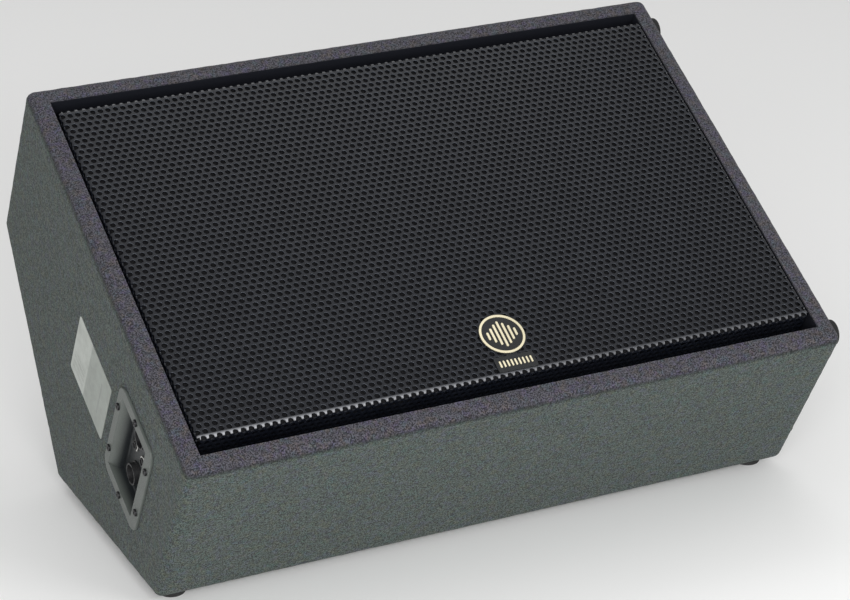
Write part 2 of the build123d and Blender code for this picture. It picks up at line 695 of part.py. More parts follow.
inductor = Cylinder(20, 20, align=BOTTOM_UP) - Cylinder(9, 60)
inductor = fillet(inductor.edges().group_by(Axis.Z)[-1], 1.5)
small_inductor = Cylinder(14, 14, align=BOTTOM_UP) - Cylinder(6, 60)
crossover_coils = group([
    on_right_end(board_inner, BOARD_Y[0] + 34, BOARD_Z[0] + 34) * inductor,
    on_right_end(board_inner, BOARD_Y[1] - 24, BOARD_Z[0] + 30) * small_inductor,
])
capacitor = Pos(0, 0, 9) * Rot(0, 90, 0) * Cylinder(9, 34)
crossover_capacitors = group([
    on_right_end(board_inner, BOARD_Y[0] + 30, BOARD_Z[1] - 14) * capacitor,
    on_right_end(board_inner, BOARD_Y[0] + 72, BOARD_Z[1] - 14) * capacitor,
])
resistor = Box(30, 8, 7, align=BOTTOM_UP)
crossover_resistors = group([
    on_right_end(board_inner, BOARD_Y[1] - 26, BOARD_Z[0] + 52) * resistor,
    on_right_end(board_inner, BOARD_Y[0] + 66, BOARD_Z[0] + 12) * resistor,
])

nodes["crossover_board"] = crossover_board
nodes["crossover_spacers"] = crossover_spacers
nodes["crossover_screws"] = crossover_screws
nodes["crossover_coils"] = crossover_coils
nodes["crossover_capacitors"] = crossover_capacitors
nodes["crossover_resistors"] = crossover_resistors


# ---------------------------------------------------------------- wires inside the cabinet

WIRE_RADIUS = 2.5


def wire(*points):
    """A cable through the points, with each bend as easy as its two runs allow."""
    places = [Vector(*point) for point in points]
    radii = []
    for before, here, after in zip(places, places[1:], places[2:]):
        arrive = here - before
        leave = after - here
        turn = radians(arrive.get_angle(leave))
        radii.append(0.45 * min(arrive.length, leave.length) / tan(turn / 2))
    path = FilletPolyline(*places, radius=radii)
    section = Plane(origin=path @ 0, z_dir=path % 0) * Circle(WIRE_RADIUS)
    return sweep(section, path=path)


board_edge = board_inner - 1
input_wire = wire(
    (dish_floor + 31.5, JACK_SPOTS[0][0] + 7, DISH_Z),
    (-268, 108, -150),
    (-225, 118, -182),
    (-168, 130, -205),
    (-95, 138, -214),
    (-15, 142, -216),
    (65, 150, -222),
    (145, 162, -224),
    (220, 176, -228),
    (275, 186, -224),
    (board_edge, 186, -212),
)
woofer_wire = wire(
    (WOOFER_X + 120, MID_Y, seat_z - 9),
    (15, 252, -140),
    (50, 272, -165),
    (90, 300, -192),
    (145, 330, -215),
    (210, 336, -222),
    (265, 312, -218),
    (board_edge, 280, -206),
)
driver_wire = wire(
    (HORN_X + 62, MID_Y - 10, magnet_back + 8),
    (286, 242, -172),
    (306, 258, -180),
    (board_edge, 274, -188),
)
nodes["internal_wires"] = group([input_wire, woofer_wire, driver_wire])


# ---------------------------------------------------------------- plywood, carpet and wadding

left_end = timber & block((-HALF, -INNER_HALF), ALL_Y, ALL_Z)
right_end = timber & block((INNER_HALF, HALF), ALL_Y, ALL_Z)
left_end -= block((-HALF, -INNER_HALF), cutout_y, cutout_z)

room_low, room_high, room_top_back, room_rear, room_front = ROOM_OUTLINE


def board_between(outer_start, outer_end, inner_end, inner_start):
    """One long panel between the two ends, mitred where it meets the next."""
    outline = [outer_start, outer_end, inner_end, inner_start]
    return timber & prism(outline, -INNER_HALF, INNER_HALF)


top_panel = board_between(FACE_HIGH, TOP_BACK, room_top_back, (room_high[0], 0.0))
rear_panel = board_between(TOP_BACK, REAR_LOW, room_rear, room_top_back)
base_panel = board_between(REAR_LOW, FRONT_LOW, room_front, room_rear)
front_panel = board_between(FRONT_LOW, FACE_LOW, (room_low[0], 0.0), room_front)

baffle = block((-INNER_HALF, INNER_HALF), (WALL, FACE_LENGTH - WALL), (BAFFLE_BACK, BAFFLE_FRONT))
baffle -= disc(WOOFER_CUT, -100, 0, WOOFER_X, MID_Y)
baffle -= horn_cut
for x, y in port_spots:
    baffle -= disc(PORT_OUT, -100, 0, x, y)
for fixing in (woofer_screws, horn_screws, grille_screws):
    for piece in fixing.solids():
        baffle -= piece

CLEAT = 18.0
cleat_z = (BAFFLE_BACK - CLEAT, BAFFLE_BACK)
low_y = (WALL, WALL + CLEAT)
high_y = (FACE_LENGTH - WALL - CLEAT, FACE_LENGTH - WALL)
between_y = (low_y[1], high_y[0])
baffle_cleats = group([
    block((-INNER_HALF, INNER_HALF), low_y, cleat_z),
    block((-INNER_HALF, INNER_HALF), high_y, cleat_z),
    block((-INNER_HALF, CLEAT - INNER_HALF), between_y, cleat_z),
    block((INNER_HALF - CLEAT, INNER_HALF), between_y, cleat_z),
])

carpet = carpeted - timber
opening = block((-INNER_HALF, INNER_HALF), (WALL, FACE_LENGTH - WALL), (-10, 10))
end_seam = HALF - EDGE_ROUND
face_seam = -EDGE_ROUND
carpet_left = carpet & block((-HALF, -end_seam), ALL_Y, (-500, face_seam))
carpet_right = carpet & block((end_seam, HALF), ALL_Y, (-500, face_seam))
carpet_wrap = carpet & block((-end_seam, end_seam), ALL_Y, (-500, face_seam))
carpet_face_edge = carpet & block((-HALF, HALF), ALL_Y, (face_seam, 10)) - opening
carpet_left -= block((-HALF - 1, -INNER_HALF), cutout_y, cutout_z)

for piece in dish_screws.solids():
    left_end -= piece
    carpet_left -= piece
for piece in crossover_screws.solids():
    right_end -= piece


def drill(shape, places):
    for place in places:
        shape -= place.location * foot_screw
    return shape


right_end = drill(right_end, side_places)
base_panel = drill(base_panel, base_places)
rear_panel = drill(rear_panel, rear_places)
carpet_right = drill(carpet_right, side_places)
carpet_wrap = drill(carpet_wrap, base_places + rear_places)

WADDING = 20.0
WADDING_HALF = 280.0
WADDING_INSET = 25.0
WADDING_OUTLINE = inset(OUTLINE, WALL + WADDING)
wadding = prism(ROOM_OUTLINE, -WADDING_HALF, WADDING_HALF) - prism(WADDING_OUTLINE, -HALF, HALF)
wadding_y = (room_front[0] + WADDING_INSET, room_top_back[0] - WADDING_INSET)
wadding &= block((-HALF, HALF), wadding_y, (ALL_Z[0], -SIDE_DEPTH))

nodes["side_panel_left"] = left_end
nodes["side_panel_right"] = right_end
nodes["top_panel"] = top_panel
nodes["rear_panel"] = rear_panel
nodes["base_panel"] = base_panel
nodes["front_panel"] = front_panel
nodes["baffle"] = baffle
nodes["baffle_cleats"] = baffle_cleats
nodes["carpet_left"] = carpet_left
nodes["carpet_right"] = carpet_right
nodes["carpet_wrap"] = carpet_wrap
nodes["carpet_face_edge"] = carpet_face_edge
nodes["wadding"] = wadding


# ---------------------------------------------------------------- the box tipped back onto its base

tip = Rot(MONITOR_ANGLE, 0, 0)
everything = group([tip * shape for shape in nodes.values()]).bounding_box()
home = Pos(-everything.center().X, -everything.center().Y, -everything.min.Z) * tip

if __name__ == "__main__":
    os.makedirs("parts", exist_ok=True)
    for name, shape in nodes.items():
        export_step(home * shape, f"parts/{name}.step")
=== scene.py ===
import json
from math import ceil, cos, pi, radians, sin

import bmesh
import bpy
import numpy as np
from mathutils import Matrix, Vector, noise


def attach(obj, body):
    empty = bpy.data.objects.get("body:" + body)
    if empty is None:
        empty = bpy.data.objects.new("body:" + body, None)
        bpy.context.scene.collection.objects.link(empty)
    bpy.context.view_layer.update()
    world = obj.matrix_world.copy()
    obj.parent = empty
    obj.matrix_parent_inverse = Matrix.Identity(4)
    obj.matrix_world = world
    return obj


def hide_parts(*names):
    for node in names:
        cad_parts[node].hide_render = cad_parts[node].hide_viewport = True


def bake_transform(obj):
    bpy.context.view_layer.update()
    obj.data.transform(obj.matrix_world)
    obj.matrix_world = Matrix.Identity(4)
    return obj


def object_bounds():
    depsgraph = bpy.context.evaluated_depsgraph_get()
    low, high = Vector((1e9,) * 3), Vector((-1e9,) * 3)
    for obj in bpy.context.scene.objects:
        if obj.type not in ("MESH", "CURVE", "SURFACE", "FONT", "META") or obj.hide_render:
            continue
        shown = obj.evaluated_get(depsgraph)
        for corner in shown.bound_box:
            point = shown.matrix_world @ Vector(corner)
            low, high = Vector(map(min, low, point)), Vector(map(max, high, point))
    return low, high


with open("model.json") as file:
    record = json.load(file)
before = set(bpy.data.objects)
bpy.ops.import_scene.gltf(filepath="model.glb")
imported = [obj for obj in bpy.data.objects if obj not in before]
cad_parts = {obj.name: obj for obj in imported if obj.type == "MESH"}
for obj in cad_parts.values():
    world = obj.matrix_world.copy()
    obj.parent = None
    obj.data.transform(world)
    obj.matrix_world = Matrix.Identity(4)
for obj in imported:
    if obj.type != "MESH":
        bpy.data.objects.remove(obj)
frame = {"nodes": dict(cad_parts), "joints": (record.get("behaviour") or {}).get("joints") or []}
cad_low, cad_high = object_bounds()

# Stage monitor wedge. The CAD model is drawn on a bench: X across the box, Y up the grille and Z standing out
# of it, with 0 at the middle of the front frame's lower edge. The same bench is used here, in metres.

MM = 0.001


# ---------------------------------------------------------------- the bench

def make_bench():
    """The bench's place in the frame: Z is the cone's line of travel, the origin the face's lower edge."""
    travel = next(j for j in frame["joints"] if j["name"] == "cone_travel")
    out = Vector(travel["axis"]).normalized()
    across = Vector((1, 0, 0))
    up = out.cross(across)
    turn = Matrix((across, up, out)).transposed().to_4x4()
    low, high = limits("carpet_face_edge", turn.inverted())
    origin = Vector(((low.x + high.x) / 2, low.y, high.z))
    return turn @ Matrix.Translation(origin)


def limits(node, to_bench):
    """Lowest and highest corners of a CAD node in bench coordinates."""
    mesh = frame["nodes"][node].data
    points = np.array([to_bench @ v.co for v in mesh.vertices])
    return Vector(points.min(0)), Vector(points.max(0))


BENCH = make_bench()
TO_BENCH = BENCH.inverted()


def node_box(node):
    return limits(node, TO_BENCH)


def bench_numpy():
    return np.array(BENCH.to_3x3()), np.array(BENCH.translation)


# Sizes that the frame gives
face_high = node_box("carpet_face_edge")[1]
HALF = face_high.x
FACE_LENGTH = face_high.y
left_low, left_high = node_box("side_panel_left")
CARPET = HALF + left_low.x
BOARD = left_high.x - left_low.x
WALL = CARPET + BOARD
INNER_HALF = HALF - WALL
baffle_low = node_box("baffle")[0]
EDGE_ROUND = 9.5 * MM
end_seam = node_box("carpet_right")[0].x


# ---------------------------------------------------------------- mesh helpers

def add_mesh(name, points, faces, body="root", smooth=True, on_bench=True):
    """A piece made of bench points, riding on a body."""
    points = np.asarray(points, float)
    if on_bench:
        turn, shift = bench_numpy()
        points = points @ turn.T + shift
    mesh = bpy.data.meshes.new(name)
    mesh.from_pydata(points.tolist(), [], faces)
    mesh.validate()
    mesh.update()
    if smooth:
        mesh.polygons.foreach_set("use_smooth", [True] * len(mesh.polygons))
    piece = bpy.data.objects.new(name, mesh)
    bpy.context.scene.collection.objects.link(piece)
    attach(piece, body)
    return piece


def paint(piece, *materials):
    piece.data.materials.clear()
    for material in materials:
        piece.data.materials.append(material)


def dress(node, material):
    """Gives a CAD node that stays in view its finished material."""
    slots = frame["nodes"][node].material_slots
    if not slots:
        frame["nodes"][node].data.materials.append(material)
    for slot in slots:
        slot.material = material


# ---------------------------------------------------------------- material helpers

class Shader:
    """A node tree with a Principled shader and a few short ways to feed it."""

    def __init__(self, name, color=(0.5, 0.5, 0.5), rough=0.5, metal=0.0, specular=0.5):
        self.material = bpy.data.materials.new(name)
        self.material.use_nodes = True
        self.tree = self.material.node_tree
        self.base = self.tree.nodes["Principled BSDF"]
        self.base.inputs["Base Color"].default_value = (*color, 1)
        self.base.inputs["Roughness"].default_value = rough
        self.base.inputs["Metallic"].default_value = metal
        self.base.inputs["Specular IOR Level"].default_value = specular
        self.place = self.tree.nodes.new("ShaderNodeTexCoord").outputs["Object"]

    def node(self, kind, inputs=None, **settings):
        made = self.tree.nodes.new(kind)
        for key, value in settings.items():
            setattr(made, key, value)
        for key, value in (inputs or {}).items():
            if isinstance(value, bpy.types.NodeSocket):
                self.tree.links.new(value, made.inputs[key])
            else:
                made.inputs[key].default_value = value
        return made

    def noise(self, scale, detail=3.0, rough=0.6, place=None):
        inputs = {"Vector": place or self.place, "Scale": scale, "Detail": detail, "Roughness": rough}
        return self.node("ShaderNodeTexNoise", inputs).outputs["Fac"]

    def cells(self, scale, output="Distance", place=None):
        inputs = {"Vector": place or self.place, "Scale": scale}
        return self.node("ShaderNodeTexVoronoi", inputs).outputs[output]

    def spread(self, value, low, high, out_low=0.0, out_high=1.0):
        inputs = {"Value": value, "From Min": low, "From Max": high, "To Min": out_low, "To Max": out_high}
        return self.node("ShaderNodeMapRange", inputs).outputs["Result"]

    def maths(self, operation, first, second):
        return self.node("ShaderNodeMath", {0: first, 1: second}, operation=operation).outputs[0]

    def mix(self, share, first, second, how="MIX"):
        made = self.node("ShaderNodeMix", {"Factor": share}, data_type="RGBA", blend_type=how)
        for index, value in ((6, first), (7, second)):
            if isinstance(value, bpy.types.NodeSocket):
                self.tree.links.new(value, made.inputs[index])
            else:
                made.inputs[index].default_value = (*value, 1)
        return made.outputs[2]

    def bench_place(self):
        """Bench coordinates of the surface point, in metres."""
        back = TO_BENCH
        turned = self.node("ShaderNodeMapping", {"Vector": self.place, "Rotation": back.to_euler(),
                                                 "Location": back.translation})
        return turned.outputs["Vector"]

    def color(self, value):
        self.tree.links.new(value, self.base.inputs["Base Color"])

    def rough(self, value):
        self.tree.links.new(value, self.base.inputs["Roughness"])

    def bump(self, height, depth, strength=1.0):
        made = self.node("ShaderNodeBump", {"Height": height, "Distance": depth, "Strength": strength})
        self.tree.links.new(made.outputs["Normal"], self.base.inputs["Normal"])


def shade(color, factor):
    return tuple(channel * factor for channel in color)


# ---------------------------------------------------------------- materials

CREASE_SHADE = 0.5   # painted shade: how much darker the carpet is painted where it rolls over the front edge


def carpet_material(name, tone, edge_tone):
    """Needle-punch cabinet carpet: matted fibres, peppered light and dark, with faint colour flecks, and
    painted shade where it rolls over the front edge.
    """
    s = Shader(name, tone, rough=0.95, specular=0.1)
    s.base.inputs["Sheen Weight"].default_value = 0.08
    s.base.inputs["Sheen Roughness"].default_value = 0.6
    pepper = s.noise(720, 1, 0.5)
    fibre = s.noise(1700, 2, 0.6)
    tuft = s.noise(210, 2, 0.5)
    patch = s.noise(20, 3, 0.6)
    places = [s.node("ShaderNodeMapping", {"Vector": s.place, "Location": (shift, shift * 0.6, shift * 1.7)})
              for shift in (3.1, 7.3, 12.9)]
    warm, cool, green = (s.noise(120, 2, 0.6, place.outputs["Vector"]) for place in places)
    depth = s.node("ShaderNodeSeparateXYZ", {"Vector": s.bench_place()}).outputs["Z"]
    base = s.mix(s.spread(depth, -7 * MM, -4 * MM), tone, edge_tone)
    dark = s.mix(1.0, base, (0.26, 0.26, 0.26), "MULTIPLY")
    light = s.mix(1.0, base, (2.2, 2.2, 2.2), "MULTIPLY")
    grey = s.mix(s.spread(pepper, 0.36, 0.64), dark, light)
    grey = s.mix(s.spread(tuft, 0.35, 0.6, 0.10, 0.0), grey, dark)
    grey = s.mix(s.spread(fibre, 0.55, 0.75, 0.0, 0.3), grey, light)
    tinted = s.mix(s.spread(warm, 0.5, 0.66), grey, (1.13, 1.02, 0.86), "MULTIPLY")
    tinted = s.mix(s.spread(cool, 0.5, 0.66), tinted, (1.03, 0.94, 1.22), "MULTIPLY")
    tinted = s.mix(s.spread(green, 0.52, 0.68), tinted, (0.87, 1.06, 1.05), "MULTIPLY")
    tinted = s.mix(s.spread(patch, 0.3, 0.7, 0.0, 0.06), tinted, dark)
    # painted shade: a darker band where the carpet rolls over the front edge, standing in for the shade in
    # that crease
    crease_shade = s.maths("MULTIPLY", s.spread(depth, -9.5 * MM, -6.5 * MM), s.spread(depth, -2.5 * MM, -5 * MM))
    s.color(s.mix(s.maths("MULTIPLY", crease_shade, CREASE_SHADE), tinted, dark))
    s.bump(s.maths("ADD", pepper, s.maths("MULTIPLY", tuft, 1.2)), 0.0010, 0.85)
    return s.material


def powder_coat(name, tone, rough=0.42):
    """Baked black paint with a fine orange-peel skin."""
    s = Shader(name, tone, rough, specular=0.55)
    peel = s.noise(620, 2, 0.5)
    dust = s.noise(34, 4, 0.65)
    s.color(s.mix(s.spread(dust, 0.35, 0.75), tone, shade(tone, 1.6)))
    s.rough(s.spread(dust, 0.3, 0.7, rough - 0.06, rough + 0.12))
    s.bump(peel, 0.00025, 0.5)
    return s.material


def plastic(name, tone, rough=0.45, grain=0.0003, scale=900):
    s = Shader(name, tone, rough, specular=0.5)
    texture = s.noise(scale, 3, 0.6)
    cloud = s.noise(18, 3, 0.6)
    s.color(s.mix(s.spread(cloud, 0.3, 0.7, 0.0, 1.0), shade(tone, 0.9), shade(tone, 1.12)))
    s.rough(s.spread(texture, 0.3, 0.7, rough - 0.05, rough + 0.08))
    s.bump(texture, grain, 0.6)
    return s.material


def dish_material():
    """Moulded dish: a grey plate, and a hollow painted darker towards its floor as painted shade."""
    s = Shader("dish_plastic", (0.070, 0.080, 0.073), 0.42, specular=0.5)
    texture = s.noise(900, 3, 0.6)
    cloud = s.noise(26, 3, 0.6)
    across = s.node("ShaderNodeSeparateXYZ", {"Vector": s.bench_place()}).outputs["X"]
    plate = node_box("jack_dish")[0].x
    # painted shade: the colour darkens with depth below the plate's face, standing in for the shade inside
    # the hollow
    hollow_shade = s.spread(across, plate + 1.5 * MM, plate + 10 * MM)
    pale = s.mix(s.spread(cloud, 0.3, 0.7), (0.066, 0.076, 0.069), (0.086, 0.097, 0.089))
    s.color(s.mix(hollow_shade, pale, (0.010, 0.0125, 0.014)))
    s.rough(s.spread(texture, 0.3, 0.7, 0.36, 0.5))
    s.bump(texture, 0.0003, 0.6)
    return s.material


def rubber(name, tone):
    s = Shader(name, tone, 0.78, specular=0.35)
    speck = s.noise(1400, 3, 0.6)
    scuff = s.noise(70, 4, 0.7)
    s.color(s.mix(s.spread(scuff, 0.5, 0.8), tone, shade(tone, 2.6)))
    s.rough(s.spread(scuff, 0.3, 0.8, 0.7, 0.92))
    s.bump(speck, 0.0002, 0.6)
    return s.material


def metal(name, tone, rough=0.32, stretch=(1, 1, 12)):
    """Plain or plated metal with fine directional scratches."""
    s = Shader(name, tone, rough, metal=1.0)
    grain = s.node("ShaderNodeMapping", {"Vector": s.place, "Scale": stretch}).outputs["Vector"]
    scratch = s.noise(500, 3, 0.7, grain)
    stain = s.noise(45, 3, 0.6)
    s.color(s.mix(s.spread(stain, 0.35, 0.75), tone, shade(tone, 0.72)))
    s.rough(s.spread(scratch, 0.3, 0.7, rough - 0.08, rough + 0.12))
    s.bump(scratch, 0.00008, 0.5)
    return s.material


def plywood():
    """Birch plywood: long veneer grain, plies on the cut edges, and black paint inside the grille recess."""
    s = Shader("plywood", (0.55, 0.40, 0.24), 0.6)
    bench = s.bench_place()
    long_grain = s.node("ShaderNodeMapping", {"Vector": bench, "Scale": (1.6, 22, 22)}).outputs["Vector"]
    grain = s.noise(9, 6, 0.62, long_grain)
    pores = s.noise(120, 2, 0.7, long_grain)
    wood = s.mix(s.spread(grain, 0.3, 0.7), (0.60, 0.43, 0.25), (0.40, 0.26, 0.13))
    wood = s.mix(s.spread(pores, 0.55, 0.75, 0.0, 0.5), wood, (0.28, 0.17, 0.08))
    depth = s.node("ShaderNodeSeparateXYZ", {"Vector": bench}).outputs["Z"]
    painted = s.spread(depth, baffle_low.z - 0.5 * MM, baffle_low.z + 0.5 * MM)
    s.color(s.mix(painted, wood, (0.0045, 0.0055, 0.010)))
    s.bump(grain, 0.0003, 0.5)
    return s.material


def black_wood():
    s = Shader("baffle_paint", (0.005, 0.006, 0.010), 0.8, specular=0.2)
    texture = s.noise(420, 4, 0.7)
    s.color(s.mix(s.spread(texture, 0.4, 0.7), (0.0040, 0.0048, 0.0085), (0.0085, 0.0095, 0.014)))
    s.bump(texture, 0.0004, 0.6)
    return s.material


def felt(name, tone, scale=260):
    s = Shader(name, tone, 0.98, specular=0.1)
    fibre = s.noise(scale, 6, 0.8)
    lump = s.noise(30, 3, 0.6)
    s.color(s.mix(s.spread(fibre, 0.3, 0.7), shade(tone, 0.6), shade(tone, 1.5)))
    s.bump(s.maths("ADD", fibre, lump), 0.002, 0.8)
    return s.material


def foam():
    """Open-cell foam behind the grille."""
    s = Shader("grille_foam_black", (0.006, 0.006, 0.0065), 1.0, specular=0.05)
    cell = s.cells(700)
    s.color(s.mix(s.spread(cell, 0.1, 0.6), (0.0035, 0.0035, 0.004), (0.010, 0.010, 0.011)))
    s.bump(cell, 0.0006, 0.8)
    return s.material


def paper(name, tone):
    s = Shader(name, tone, 0.85, specular=0.25)
    pulp = s.noise(160, 6, 0.75)
    s.color(s.mix(s.spread(pulp, 0.35, 0.7), shade(tone, 0.7), shade(tone, 1.4)))
    s.bump(pulp, 0.0005, 0.7)
    return s.material


def woven(name, tone):
    s = Shader(name, tone, 0.8, specular=0.2)
    threads = {"Vector": s.place, "Scale": 320.0}
    warp = s.node("ShaderNodeTexWave", threads, bands_direction="X").outputs["Fac"]
    weft = s.node("ShaderNodeTexWave", threads, bands_direction="Z").outputs["Fac"]
    cloth = s.maths("MULTIPLY", warp, weft)
    s.color(s.mix(cloth, shade(tone, 0.6), shade(tone, 1.3)))
    s.bump(cloth, 0.0003, 0.6)
    return s.material


def winding(name, tone):
    s = Shader(name, tone, 0.3, metal=1.0)
    wire = {"Vector": s.place, "Scale": 260.0}
    turns = s.node("ShaderNodeTexWave", wire, bands_direction="X").outputs["Fac"]
    s.color(s.mix(turns, shade(tone, 0.35), tone))
    s.bump(turns, 0.0004, 0.8)
    return s.material


def circuit_board():
    s = Shader("circuit_board", (0.20, 0.13, 0.05), 0.45)
    bench = s.bench_place()
    track = s.node("ShaderNodeTexBrick", {"Vector": bench, "Scale": 60.0, "Mortar Size": 0.03})
    glass = s.noise(700, 2, 0.6)
    copper = s.mix(track.outputs["Fac"], (0.20, 0.13, 0.05), (0.30, 0.24, 0.09))
    s.color(s.mix(s.spread(glass, 0.3, 0.7, 0.0, 0.3), copper, (0.12, 0.09, 0.04)))
    s.bump(track.outputs["Fac"], 0.0002, 0.5)
    return s.material


def stone(name, tone):
    s = Shader(name, tone, 0.7, specular=0.35)
    grit = s.noise(520, 5, 0.7)
    s.color(s.mix(s.spread(grit, 0.35, 0.7), shade(tone, 0.7), shade(tone, 1.4)))
    s.rough(s.spread(grit, 0.3, 0.7, 0.55, 0.85))
    s.bump(grit, 0.0003, 0.6)
    return s.material


def label_material():
    """A printed sticker: a plain grey field below, and above it a paler one with a column of fine ticks."""
    s = Shader("label_print", (0.30, 0.32, 0.30), 0.42, specular=0.5)
    low, high = node_box("spec_label")
    parts = s.node("ShaderNodeSeparateXYZ", {"Vector": s.bench_place()})
    up = s.spread(parts.outputs["Y"], low.y, high.y)
    deep = s.spread(parts.outputs["Z"], high.z, low.z)
    field = s.spread(up, 0.585, 0.60)
    ticks = s.maths("GREATER_THAN", s.maths("FRACT", s.maths("MULTIPLY", up, 46.0), 0.0), 0.5)
    columns = s.maths("GREATER_THAN", s.maths("FRACT", s.maths("MULTIPLY", deep, 11.0), 0.0), 0.35)
    band = s.maths("MULTIPLY", s.spread(deep, 0.60, 0.62), s.spread(deep, 0.95, 0.93))
    block = s.maths("MULTIPLY", s.spread(up, 0.63, 0.64), s.spread(up, 0.95, 0.94))
    ink = s.maths("MULTIPLY", s.maths("MULTIPLY", ticks, columns), s.maths("MULTIPLY", band, block))
    rule = s.maths("MULTIPLY", s.spread(up, 0.20, 0.21), s.spread(up, 0.245, 0.235))
    middle = s.maths("MULTIPLY", s.spread(deep, 0.2, 0.22), s.spread(deep, 0.8, 0.78))
    rule = s.maths("MULTIPLY", rule, middle)
    dust = s.noise(60, 4, 0.7)
    tone = s.mix(field, (0.255, 0.280, 0.255), (0.385, 0.410, 0.380))
    inked = s.mix(s.maths("MULTIPLY", ink, 0.5), tone, (0.12, 0.13, 0.12))
    inked = s.mix(s.maths("MULTIPLY", rule, 0.35), inked, (0.12, 0.13, 0.12))
    s.color(s.mix(s.spread(dust, 0.4, 0.8, 0.0, 0.35), inked, (0.16, 0.16, 0.145)))
    s.rough(s.spread(dust, 0.3, 0.7, 0.36, 0.5))
    s.bump(dust, 0.0001, 0.4)
    return s.material


GREEN_GREY = (0.0375, 0.048, 0.0435)
PLUM_GREY = (0.041, 0.040, 0.048)
carpet_panels = carpet_material("carpet_panels", GREEN_GREY, GREEN_GREY)
carpet_front = carpet_material("carpet_front_edge", GREEN_GREY, PLUM_GREY)
black_steel = metal("black_screw_steel", (0.045, 0.045, 0.047), 0.42)
zinc = metal("zinc_steel", (0.56, 0.55, 0.50), 0.34)
chrome = metal("bright_nickel", (0.78, 0.77, 0.74), 0.14)
plated = metal("plated_steel", (0.46, 0.45, 0.42), 0.36)
black_plastic = plastic("black_plastic", (0.016, 0.016, 0.017), 0.42)
dish_plastic = dish_material()
foot_rubber = rubber("foot_rubber", (0.014, 0.014, 0.014))
gasket_rubber = rubber("gasket_rubber", (0.012, 0.012, 0.012))
cream_enamel = plastic("cream_enamel", (0.66, 0.60, 0.42), 0.32, 0.0001)
badge_black = plastic("badge_black", (0.011, 0.012, 0.013), 0.3, 0.0001)


# ---------------------------------------------------------------- carpet

def outline_points(inset):
    """The pentagon of the side view, moved in by inset. Its face length comes from the carpet's own box; its
    depth, base and lean are given numbers.
    """
    lean = radians(30)
    depth = 206 * MM
    base = 292 * MM
    corners = [(0, 0), (FACE_LENGTH, 0), (FACE_LENGTH, -depth),
               (base * cos(lean), -depth - base * sin(lean)), (0, -depth)]
    corners = [Vector(c) for c in corners]
    lines = []
    for here, after in zip(corners, corners[1:] + corners[:1]):
        run = (after - here).normalized()
        lines.append((here + Vector((run.y, -run.x)) * inset, run))
    moved = []
    for (p, u), (q, v) in zip(lines[-1:] + lines[:-1], lines):
        step = (q - p).cross(v) / u.cross(v)
        moved.append(p + u * step)
    return moved


CORE = np.array([tuple(p) for p in outline_points(EDGE_ROUND)])


def core_point(points):
    """The nearest point of the wedge drawn in by its edge radius, for each point of the sharp wedge."""
    core = points.copy()
    limit = HALF - EDGE_ROUND
    core[:, 0] = np.clip(points[:, 0], -limit, limit)
    flat = points[:, 1:]
    inside = np.ones(len(flat), bool)
    best = np.full(len(flat), np.inf)
    nearest = flat.copy()
    for here, after in zip(CORE, np.roll(CORE, -1, 0)):
        run = after - here
        side = (flat[:, 0] - here[0]) * run[1] - (flat[:, 1] - here[1]) * run[0]
        inside &= side >= 0
        share = np.clip(((flat - here) @ run) / (run @ run), 0, 1)
        spot = here + share[:, None] * run
        gap = np.linalg.norm(flat - spot, axis=1)
        closer = gap < best
        best[closer] = gap[closer]
        nearest[closer] = spot[closer]
    core[:, 1:] = np.where(inside[:, None], flat, nearest)
    return core


def round_over(points, lift):
    """Sharp wedge points wrapped onto the rounded one, lifted off its skin by lift."""
    core = core_point(points)
    out = points - core
    length = np.linalg.norm(out, axis=1, keepdims=True)
    return core + out / np.maximum(length, 1e-9) * (EDGE_ROUND + lift[:, None])


EDGE_STEPS = np.array([0.0, 1.6, 3.3, 5.2, 7.3, 9.5]) * MM


def stations(length, step, stops=()):
    """Distances along a run: close together in its two rounded ends, even between them, with set stops."""
    marks = list(EDGE_STEPS) + [length - d for d in EDGE_STEPS] + list(stops)
    marks = sorted(set(round(m, 7) for m in marks))
    filled = []
    for here, after in zip(marks, marks[1:]):
        count = max(1, ceil((after - here) / step - 0.2)) if after - here > 2.4 * MM else 1
        filled += [here + (after - here) * k / count for k in range(count)]
    return filled + [marks[-1]]


def fuzz(points):
    """How far matted carpet stands off its nominal skin at each point."""
    lift = np.empty(len(points))
    for i, p in enumerate(points):
        v = Vector(p)
        lift[i] = 0.30 * noise.noise(v * 90) + 0.22 * noise.noise(v * 260)
    return lift * MM


